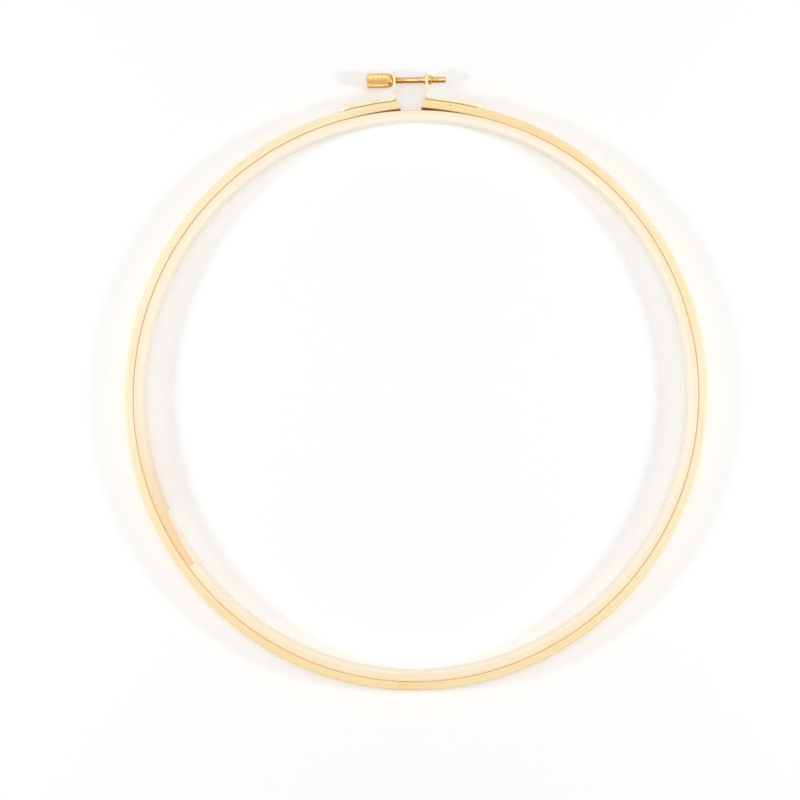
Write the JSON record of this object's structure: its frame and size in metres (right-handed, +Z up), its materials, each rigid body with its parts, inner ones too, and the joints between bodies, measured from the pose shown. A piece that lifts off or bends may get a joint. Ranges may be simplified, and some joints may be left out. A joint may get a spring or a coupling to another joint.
{
  "type": "embroidery hoop",
  "caption": "Round wooden embroidery hoop: a closed inner ring and a split outer ring that a knurled brass thumb screw draws together to grip cloth.",
  "frame": {"origin": "on the surface that the hoop lies on, under the middle of the box around the whole hoop with its clamp", "axes": "+Z up, out of the hoop's plane; +Y in the plane, from the hoop towards the clamp; +X towards the screw's free end, with its head at -X"},
  "size_m": [0.2586, 0.2752, 0.009],
  "materials": {
    "wood_inner": "pale straight-grained beech, clear satin lacquer",
    "wood_outer": "pale straight-grained beech, clear satin lacquer",
    "brass_sheet": "pale brass sheet, satin",
    "brass_rod": "turned and knurled brass, bright"
  },
  "bodies": {
    "inner": {"inner_ring": "wood_inner"},
    "outer_right": {"outer_ring_right": "wood_outer", "strap_right": "brass_sheet", "rivet_right_1": "brass_sheet", "rivet_right_2": "brass_sheet", "threaded_bush": "brass_rod"},
    "outer_left": {"outer_ring_left": "wood_outer", "strap_left": "brass_sheet", "rivet_left_1": "brass_sheet", "rivet_left_2": "brass_sheet"},
    "screw": {"thumb_screw": "brass_rod"}
  },
  "joints": [
    {"name": "ring_lift", "type": "slide", "parent": "inner", "child": "outer_right", "axis": [0, 0, 1], "range_m": [0, 0.03]},
    {"name": "ring_open", "type": "hinge", "parent": "outer_right", "child": "outer_left", "pos_m": [0.00404, -0.13549, 0.0045], "axis": [0, 0, 1], "range_deg": [0, 1.28]},
    {"name": "screw_turn", "type": "hinge", "parent": "outer_left", "child": "screw", "pos_m": [0, 0.13381, 0.0045], "axis": [-1, 0, 0], "range_deg": [0, 4320]}
  ],
  "couplings": [
    {"joint": "screw_turn", "follows": "ring_open", "ratio": 3384.1}
  ]
}
